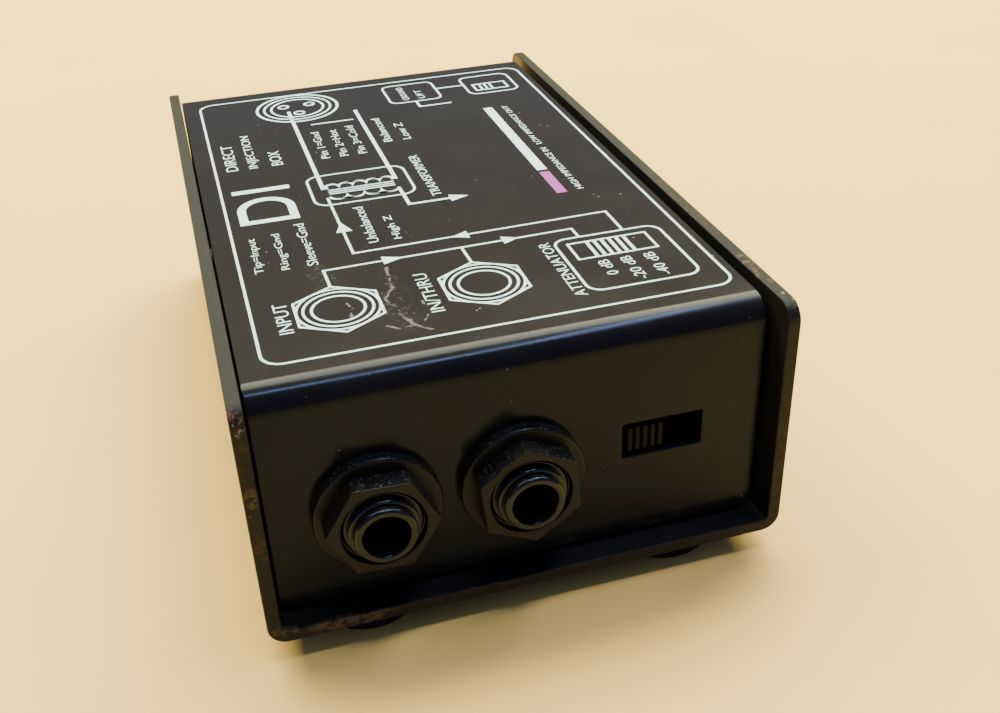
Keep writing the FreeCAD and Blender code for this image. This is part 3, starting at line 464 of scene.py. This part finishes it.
def board_laminate():
    """Green solder mask over the glass cloth's weave, with paler copper areas under it."""
    finish = Finish("board_laminate_green", (0.012, 0.085, 0.030), 0.32)
    finish.vary(8.0, 0.8, 1.15, 0.05)
    tracks = finish.span(finish.noise(4.5, 0.5, stretch=(1.0, 3.0, 1.0)), 0.50, 0.52)
    finish.blend(finish.math("MULTIPLY", tracks, 0.6), (0.030, 0.15, 0.045))
    finish.bump(tracks, 0.5, 0.04)
    for angle in (0.0, math.pi / 2):
        weave = finish.add("ShaderNodeTexWave", {
            "Vector": finish.add("ShaderNodeMapping", {
                "Vector": finish.place, "Rotation": (0.0, 0.0, angle)}).outputs[0],
            "Scale": 380.0, "Distortion": 0.6})
        finish.bump(weave.outputs["Fac"], 0.12, 0.02)
    return finish.material


def phenolic():
    finish = Finish("wafer_phenolic_brown", (0.014, 0.0085, 0.006), 0.55)
    finish.shader.inputs["Specular IOR Level"].default_value = 0.05
    finish.vary(2.0, 0.6, 1.3, 0.08, detail=6.0, stretch=(1.0, 1.0, 4.0))
    finish.bump(finish.noise(0.3, detail=4.0), 0.2, 0.03)
    return finish.material


def banded_resistor():
    """Buff lacquer with coloured bands along the part's axis, which lies along Y."""
    finish = Finish("resistor_lacquer_buff", (0.50, 0.36, 0.20), 0.38)
    finish.vary(1.5, 0.85, 1.08, 0.05)
    y = finish.axis("Y")
    bands = (((-38.9, 0.34), (0.30, 0.12, 0.03)), ((-37.8, 0.34), (0.01, 0.01, 0.01)),
             ((-36.7, 0.34), (0.55, 0.06, 0.02)), ((-34.9, 0.34), (0.55, 0.36, 0.08)),
             ((45.6, 0.34), (0.30, 0.12, 0.03)), ((46.7, 0.34), (0.02, 0.02, 0.02)),
             ((48.8, 0.34), (0.55, 0.36, 0.08)))
    for (middle, half), colour in bands:
        away = finish.math("ABSOLUTE", finish.math("SUBTRACT", y, middle * MM))
        finish.blend(finish.span(away, (half + 0.06) * MM, half * MM), colour)
    finish.bump(finish.noise(0.8, detail=3.0), 0.12, 0.05)
    return finish.material


def wound_copper():
    finish = metal("winding_copper_enamel", (0.62, 0.24, 0.10), 0.30, (0.30, 0.10, 0.05))
    turns = finish.add("ShaderNodeTexWave", {"Vector": finish.place, "Scale": 480.0, "Distortion": 0.4},
                       bands_direction="Z")
    finish.bump(turns.outputs["Fac"], 0.8, 0.12)
    # painted shade: darker copper in the grooves between the turns
    finish.blend(finish.span(turns.outputs["Fac"], 0.25, 0.0, 0.0, 0.7), (0.10, 0.03, 0.015))
    return finish.material


def coil_tape():
    finish = Finish("coil_tape_amber", (0.42, 0.20, 0.035), 0.28)
    finish.vary(5.0, 0.75, 1.2, 0.08, detail=4.0)
    creases = finish.noise(2.2, detail=4.0, distortion=0.8, stretch=(1.0, 1.0, 3.0))
    finish.bump(creases, 0.4, 0.10)
    finish.shader.inputs["Coat Weight"].default_value = 0.4
    return finish.material


def laminated_core():
    """A stack of steel sheets: thin dark lines across Y and brown varnish blotches."""
    finish = metal("core_steel_stack", (0.28, 0.27, 0.26), 0.46, (0.09, 0.055, 0.03))
    sheets = finish.add("ShaderNodeTexWave", {"Vector": finish.place, "Scale": 320.0, "Distortion": 0.15},
                        bands_direction="Y").outputs["Fac"]
    finish.blend(finish.span(sheets, 0.22, 0.02), (0.03, 0.028, 0.025))
    finish.bump(sheets, 0.6, 0.08)
    return finish.material


def translucent_nylon():
    finish = Finish("bobbin_nylon_natural", (0.62, 0.58, 0.47), 0.45)
    finish.vary(4.0, 0.85, 1.06, 0.06)
    finish.shader.inputs["Subsurface Weight"].default_value = 0.25
    finish.shader.inputs["Subsurface Scale"].default_value = 1.2 * MM
    finish.bump(finish.noise(1.0, detail=3.0), 0.12, 0.04)
    return finish.material


def wire_sleeve(name, colour):
    finish = Finish(name, colour, 0.42)
    finish.vary(2.5, 0.75, 1.2, 0.07, detail=4.0)
    finish.bump(finish.noise(0.6, detail=3.0), 0.15, 0.04)
    finish.specks(0.8, 0.06, tuple(min(1.0, c * 2.5 + 0.05) for c in colour), finish.noise(2.0, 2.0), 0.58)
    return finish.material


def cast_case():
    finish = Finish("capacitor_case_blue", (0.02, 0.07, 0.30), 0.34)
    finish.vary(3.0, 0.8, 1.2, 0.06)
    finish.bump(finish.noise(0.9, detail=3.0), 0.15, 0.05)
    return finish.material


def shade_in_window(finish):
    """Paints near-black shade over what shows through the attenuator's window: painted shade."""
    finish.blend(finish.near(WINDOW_SHADE, WINDOW_SHADE_REACH), (0.010, 0.010, 0.011))
    return finish.material


def switch_can():
    return shade_in_window(metal("switch_can_tinned", (0.42, 0.41, 0.38), 0.40, (0.17, 0.15, 0.12), (1.0, 1.0, 5.0)))


def legend_ink(name, colour):
    """Screen-printed ink: thin, slightly patchy, with tiny pinholes."""
    finish = Finish(name, colour, 0.55)
    finish.vary(3.0, 0.86, 1.05, 0.08, detail=5.0)
    pinholes = finish.span(finish.noise(0.35, 3.0, 0.8), 0.66, 0.74)
    finish.blend(finish.math("MULTIPLY", pinholes, 0.6), tuple(c * 0.35 for c in colour))
    finish.bump(finish.noise(0.3, detail=2.0), 0.2, 0.02)
    return finish.material


def tabletop():
    """Pale, plain laminate with faint mottling."""
    finish = Finish("tabletop_cream", (0.80, 0.55, 0.18), 0.62)
    finish.vary(60.0, 0.97, 1.02, 0.04, detail=3.0)
    finish.bump(finish.noise(1.6, detail=3.0), 0.04, 0.05)
    return finish.material


# ---------------------------------------------------------------- pieces from the frame's nodes

def link(name, mesh, body):
    piece = bpy.data.objects.new(name, mesh)
    scene.collection.objects.link(piece)
    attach(piece, body)
    return piece


def eased_copy(node, width):
    """A node's shape with its sharp edges rounded over, as a new piece that stands for the node."""
    source = bmesh.new()
    source.from_mesh(nodes[node].data)
    bmesh.ops.remove_doubles(source, verts=source.verts, dist=0.002 * MM)
    bmesh.ops.dissolve_limit(source, angle_limit=math.radians(FLAT_ANGLE),
                            verts=source.verts, edges=source.edges)
    sharp = []
    for edge in source.edges:
        if len(edge.link_faces) == 2 and edge.calc_face_angle(0.0) > math.radians(EASE_ANGLE):
            sharp.append(edge)
    bmesh.ops.bevel(source, geom=sharp, offset=width * MM, offset_type="OFFSET", segments=EASE_STEPS,
                    profile=0.5, affect="EDGES", clamp_overlap=False, harden_normals=False)
    bmesh.ops.recalc_face_normals(source, faces=source.faces)
    for face in source.faces:
        face.smooth = True
    mesh = bpy.data.meshes.new(node + "_eased")
    places = {vertex: index for index, vertex in enumerate(source.verts)}
    mesh.from_pydata([v.co.copy() for v in source.verts], [],
                     [[places[v] for v in f.verts] for f in source.faces])
    source.free()
    mesh.polygons.foreach_set("use_smooth", [True] * len(mesh.polygons))
    mesh.set_sharp_from_angle(angle=math.radians(SMOOTH_ANGLE))
    body = body_of(nodes[node])[0]
    piece = link(node + "_eased", mesh, body)
    weighted = piece.modifiers.new("weighted", "WEIGHTED_NORMAL")
    weighted.keep_sharp = True
    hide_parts(node)
    return piece


def paint(objects, material):
    for piece in objects:
        if piece.material_slots:
            for entry in piece.material_slots:
                entry.material = material
        else:
            piece.data.materials.append(material)


# ---------------------------------------------------------------- printed legend

INK_RISE = 0.03
INK_ROOT = -0.02
INK_STEP = 0.002
INK_LEVELS = 13
# Widths of the printed strokes.
THIN, LINE, FRAME_LINE, SYMBOL_LINE = 0.43, 0.5, 0.42, 0.40
ARROW_HALF = 1.3
LETTER_WEIGHT = -0.008


def prism(target, outline, holes_with=None):
    """A closed flat slab of one loop, or between two loops. Slabs that cross differ in height."""
    level = len(target.verts) % INK_LEVELS
    low, high = (TOP_Z + INK_ROOT) * MM, (TOP_Z + INK_RISE + level * INK_STEP) * MM
    layers = []
    for z in (low, high):
        layers.append([target.verts.new((x * MM, y * MM, z)) for x, y in outline])
    count = len(outline)
    if holes_with is None:
        target.faces.new(layers[1])
        target.faces.new(list(reversed(layers[0])))
        for i in range(count):
            j = (i + 1) % count
            target.faces.new((layers[0][i], layers[0][j], layers[1][j], layers[1][i]))
        return
    inner = []
    for z in (low, high):
        inner.append([target.verts.new((x * MM, y * MM, z)) for x, y in holes_with])
    for i in range(count):
        j = (i + 1) % count
        target.faces.new((layers[0][i], layers[0][j], layers[1][j], layers[1][i]))
        target.faces.new((inner[0][j], inner[0][i], inner[1][i], inner[1][j]))
        target.faces.new((layers[1][i], layers[1][j], inner[1][j], inner[1][i]))
        target.faces.new((layers[0][j], layers[0][i], inner[0][i], inner[0][j]))


def offset_points(points, closed, side):
    """The points moved sideways by side, mitred at the corners."""
    count = len(points)
    moved = []
    for i in range(count):
        here = Vector(points[i])
        before = Vector(points[i - 1]) if closed or i else None
        after = Vector(points[(i + 1) % count]) if closed or i < count - 1 else None
        normals = []
        for a, b in ((before, here), (here, after)):
            if a is not None and b is not None:
                run = (b - a).normalized()
                normals.append(Vector((-run.y, run.x)))
        total = sum(normals, Vector((0.0, 0.0))).normalized()
        reach = side / max(0.35, total.dot(normals[0]))
        moved.append(tuple(here + total * reach))
    return moved


def stroke(target, points, width=THIN, closed=False):
    left = offset_points(points, closed, width / 2)
    right = offset_points(points, closed, -width / 2)
    if closed:
        prism(target, left, right)
    else:
        prism(target, left + right[::-1])


def arc(centre, radius, start=0.0, end=360.0, count=64):
    closed = abs(end - start) >= 360.0
    steps = count if closed else count + 1
    return [(centre[0] + radius * math.cos(math.radians(start + (end - start) * i / count)),
             centre[1] + radius * math.sin(math.radians(start + (end - start) * i / count)))
            for i in range(steps)]


def rounded_box(x0, x1, y0, y1, radius):
    points = []
    corners = ((x1, y1, 0), (x0, y1, 90), (x0, y0, 180), (x1, y0, 270))
    for x, y, start in corners:
        centre = (x - math.copysign(radius, x - (x0 + x1) / 2),
                  y - math.copysign(radius, y - (y0 + y1) / 2))
        points += arc(centre, radius, start, start + 90, 8)
    return points


def arrow(target, tip, run, length):
    ahead = Vector(run).normalized()
    side = Vector((-ahead.y, ahead.x)) * ARROW_HALF
    base = Vector(tip) - ahead * length
    prism(target, [tuple(tip), tuple(base + side), tuple(base - side)])


def words(label, x, y0, y1, height):
    """Lettering along +Y from y0 to y1, centred on x, with the letters' tops towards -X."""
    curve = bpy.data.curves.new("words", "FONT")
    curve.body = label
    curve.size = 1.0
    curve.resolution_u = 3
    curve.offset = LETTER_WEIGHT
    curve.extrude = 0.01
    holder = bpy.data.objects.new("words", curve)
    scene.collection.objects.link(holder)
    mesh = bpy.data.meshes.new_from_object(holder.evaluated_get(bpy.context.evaluated_depsgraph_get()))
    bpy.data.objects.remove(holder)
    bpy.data.curves.remove(curve)
    low = [min(v.co[i] for v in mesh.vertices) for i in range(3)]
    high = [max(v.co[i] for v in mesh.vertices) for i in range(3)]
    for vertex in mesh.vertices:
        along = (vertex.co.x - low[0]) / (high[0] - low[0])
        up = (vertex.co.y - low[1]) / (high[1] - low[1])
        rise = (vertex.co.z - low[2]) / (high[2] - low[2])
        vertex.co = (
            (x + height / 2 - up * height) * MM,
            (y0 + along * (y1 - y0)) * MM,
            (TOP_Z + INK_ROOT + rise * (INK_RISE - INK_ROOT)) * MM,
        )
    return mesh


def scallops(x0, x1, y, count, rise):
    """A row of half-round humps, the drawing of a coil."""
    step = (x1 - x0) / count
    points = []
    for i in range(count):
        middle = x0 + (i + 0.5) * step
        for j in range(0 if i == 0 else 1, 13):
            angle = math.pi * (1 - j / 12)
            points.append((middle + math.cos(angle) * step / 2, y + math.sin(angle) * rise))
    return points


def draw_jack(target, centre):
    for radius in (3.76, 4.94, 5.92):
        stroke(target, arc(centre, radius, count=72), SYMBOL_LINE, closed=True)
    corners = [(centre[0] + 6.85 * math.cos(math.radians(a)), centre[1] + 6.85 * math.sin(math.radians(a)))
               for a in range(30, 390, 60)]
    stroke(target, corners, SYMBOL_LINE, closed=True)


def draw_legend(target):
    stroke(target, rounded_box(-33.2, 33.9, -51.7, 54.5, 2.8), FRAME_LINE, closed=True)
    draw_jack(target, (-21.2, -39.6))
    draw_jack(target, (0.1, -39.3))
    stroke(target, [(-21.2, -32.8), (-21.3, -27.4), (17.9, -26.8), (18.0, -30.2)])
    stroke(target, [(0.1, -32.4), (0.0, -27.2)])
    stroke(target, [(25.2, -29.9), (25.2, -22.6), (-16.0, -23.2), (-16.2, -1.0)])
    arrow(target, (-9.1, -27.2), (1, 0), 3.2)
    arrow(target, (9.2, -26.9), (1, 0), 2.6)
    arrow(target, (-0.5, -23.0), (-1, 0), 2.7)
    arrow(target, (-15.9, -11.4), (0, 1), 3.7)
    # attenuator switch
    stroke(target, rounded_box(13.5, 30.7, -47.3, -30.0, 2.2), FRAME_LINE, closed=True)
    stroke(target, [(15.4, -37.3), (28.0, -37.3), (28.0, -31.9), (15.4, -31.9)], SYMBOL_LINE, closed=True)
    for i in range(6):
        x = 18.4 + i * 1.2
        stroke(target, [(x, -37.0), (x, -32.2)], 0.55)
    # transformer
    stroke(target, rounded_box(-18.5, -1.4, -4.0, 9.0, 2.4), FRAME_LINE, closed=True)
    stroke(target, scallops(-15.9, -4.0, 3.4, 5, 1.2)[::-1], LINE)
    stroke(target, [(x, -y) for x, y in scallops(-15.7, -3.9, 0.7, 4, 1.3)], LINE)
    for y in (0.5, 1.3, 2.1):
        stroke(target, [(-15.6, y), (-4.2, y)], 0.35)
    stroke(target, [(-16.4, 44.5), (-16.3, 3.2), (-15.4, 3.3)], 0.7)
    stroke(target, [(-3.7, 40.5), (-3.6, 3.4), (-4.4, 3.4)], 0.7)
    stroke(target, [(-13.3, 35.4), (-5.0, 35.4)], 0.45)
    stroke(target, [(-3.9, -1.0), (-3.8, -8.4), (3.2, -8.4)], 0.6)
    arrow(target, (6.3, -8.4), (1, 0), 3.2)
    # output socket and its three pins
    for radius, width in ((8.0, 0.55), (6.6, 0.45), (5.2, 0.45)):
        stroke(target, arc((-14.4, 46.2), radius, count=72), width, closed=True)
    for angle in (30, 150, 270):
        pin = (-14.4 + 3.0 * math.cos(math.radians(angle)), 46.2 + 3.0 * math.sin(math.radians(angle)))
        stroke(target, arc(pin, 0.95, count=24), 0.45, closed=True)
    # ground lift switch
    stroke(target, rounded_box(4.0, 14.5, 41.0, 52.0, 1.6), FRAME_LINE, closed=True)
    stroke(target, [(9.0, 41.0), (9.0, 37.5), (15.5, 37.5)], LINE)
    stroke(target, rounded_box(20.5, 30.8, 40.5, 51.5, 1.8), FRAME_LINE, closed=True)
    stroke(target, [(22.3, 42.6), (29.0, 42.6), (29.0, 46.4), (22.3, 46.4)], 0.45, closed=True)
    stroke(target, [(14.5, 47.0), (20.5, 47.0)], LINE)
    for i in range(3):
        stroke(target, [(23.6 + i * 1.1, 43.0), (23.6 + i * 1.1, 46.0)], 0.45)


LABELS = (
    ("INPUT", -29.0, -44.2, -35.5, 2.00),
    ("IN/THRU", -8.2, -45.3, -33.4, 2.00),
    ("ATTENUATOR", 12.0, -47.9, -30.2, 1.74),
    ("0 dB", 18.5, -43.4, -38.6, 1.74),
    ("-20 dB", 22.0, -46.0, -38.6, 1.74),
    ("-40 dB", 25.7, -46.0, -38.6, 1.74),
    ("Tip=Input", -30.2, -25.0, -12.5, 1.65),
    ("Ring=Gnd", -26.3, -25.0, -12.0, 1.65),
    ("Sleeve=Gnd", -22.4, -25.0, -9.5, 1.65),
    ("DIRECT", -30.2, 17.0, 30.0, 2.09),
    ("INJECTION", -26.2, 17.0, 34.0, 2.09),
    ("BOX", -22.2, 17.0, 24.0, 2.09),
    ("Unbalanced", -12.2, -20.5, -6.5, 1.65),
    ("High Z", -8.2, -20.5, -11.5, 1.65),
    ("TRANSFORMER", 1.5, -6.5, 12.5, 1.65),
    ("Pin 1=Gnd", -13.4, 17.0, 31.0, 1.57),
    ("Pin 2=Hot", -10.0, 17.0, 31.0, 1.57),
    ("Pin 3=Cold", -6.6, 17.0, 32.0, 1.57),
    ("Balanced", -1.0, 21.0, 34.0, 1.57),
    ("Low Z", 2.6, 21.0, 30.0, 1.57),
    ("HIGH IMPEDANCE IN   LOW IMPEDANCE OUT", 24.7, -12.5, 31.5, 1.13),
    ("GROUND", 7.4, 42.5, 50.5, 1.30),
    ("LIFT", 10.6, 42.5, 47.5, 1.30),
)


def mesh_of(target, name):
    bmesh.ops.recalc_face_normals(target, faces=target.faces)
    mesh = bpy.data.meshes.new(name)
    target.to_mesh(mesh)
    target.free()
    return mesh


def joined(name, meshes):
    target = bmesh.new()
    for mesh in meshes:
        target.from_mesh(mesh)
        bpy.data.meshes.remove(mesh)
    bmesh.ops.remove_doubles(target, verts=target.verts, dist=0.0002 * MM)
    return mesh_of(target, name)


def add_legend():
    white = legend_ink("legend_ink_white", (0.52, 0.74, 1.0))
    violet = legend_ink("legend_ink_violet", (0.30, 0.055, 0.40))
    lines = bmesh.new()
    draw_legend(lines)
    prism(lines, [(20.4, -2.5), (22.2, -2.5), (22.2, 31.6), (20.4, 31.6)])
    pieces = [link("legend_lines", mesh_of(lines, "legend_lines"), "root")]
    letters = joined("legend_words", [words(*label) for label in LABELS])
    pieces.append(link("legend_words", letters, "root"))
    big = bmesh.new()
    bowl = arc((-26.5, -1.6), 4.1, 0, 180, 18)
    stroke(big, [(-30.6, -6.4), (-22.4, -6.4)] + bowl, 1.4, closed=True)
    stroke(big, [(-31.4, 6.6), (-21.6, 6.6)], 1.5)
    pieces.append(link("legend_monogram", mesh_of(big, "legend_monogram"), "root"))
    paint(pieces, white)
    accent = bmesh.new()
    prism(accent, [(20.4, -13.0), (22.2, -13.0), (22.2, -3.4), (20.4, -3.4)])
    stripe = link("legend_stripe", mesh_of(accent, "legend_stripe"), "root")
    paint([stripe], violet)


# ---------------------------------------------------------------- the whole object

def add_object():
    finishes = {
        "cover_paint": cover_paint(),
        "chassis_paint": chassis_paint(),
        "foot_rubber": rubber(),
        "nut_plastic": moulded_plastic(
            "nut_plastic_black", (0.0052, 0.0052, 0.0060), 0.30, dust=0.75, sheen=0.24).material,
        "jack_plastic": moulded_plastic(
            "jack_plastic_black", (0.0040, 0.0040, 0.0046), 0.11, dust=0.10, sheen=0.45).material,
        "knob_plastic": knob_plastic(),
        "xlr_plastic": moulded_plastic(
            "xlr_plastic_black", (0.0052, 0.0052, 0.0056), 0.36, dust=0.3).material,
        "black_screws": plain_metal("screw_black_oxide", (0.045, 0.043, 0.042), 0.38, (0.02, 0.018, 0.016)),
        "plated_steel": shade_in_window(metal("steel_plated", (0.55, 0.54, 0.50), 0.34, (0.26, 0.23, 0.18))),
        "contact_bronze": shade_in_window(metal("bronze_contact", (0.55, 0.36, 0.18), 0.30, (0.24, 0.14, 0.07))),
        "pin_gold": plain_metal("pin_gold_flash", (0.80, 0.55, 0.22), 0.24, (0.45, 0.30, 0.13)),
        "switch_can": switch_can(),
        "wafer_phenolic": phenolic(),
        "board_green": board_laminate(),
        "resistor_coat": banded_resistor(),
        "capacitor_case": cast_case(),
        "core_steel": laminated_core(),
        "bobbin_nylon": translucent_nylon(),
        "winding_copper": wound_copper(),
        "coil_tape": coil_tape(),
        "lead_insulation": wire_sleeve("lead_sleeve_red", (0.33, 0.02, 0.015)),
        "link_insulation": wire_sleeve("link_sleeve_black", (0.02, 0.02, 0.022)),
    }
    slots = {name: item.data.materials[0].name for name, item in nodes.items()}
    for name, item in nodes.items():
        material = finishes[slots[name]]
        if name in EASED:
            piece = eased_copy(name, EASED[name])
            paint([piece], material)
        paint([item], material)
    add_legend()


add_camera()
add_world(SKY, SKY_STRENGTH)
for row in LIGHTS:
    add_panel_light(*row)

add_object()

floor_mesh = bpy.data.meshes.new("tabletop")
corners = [(x * FLOOR_HALF, y * FLOOR_HALF, 0.0) for x, y in ((-1, -1), (1, -1), (1, 1), (-1, 1))]
floor_mesh.from_pydata(corners, [], [(0, 1, 2, 3)])
floor = bpy.data.objects.new("tabletop", floor_mesh)
scene.collection.objects.link(floor)
floor.data.materials.append(tabletop())
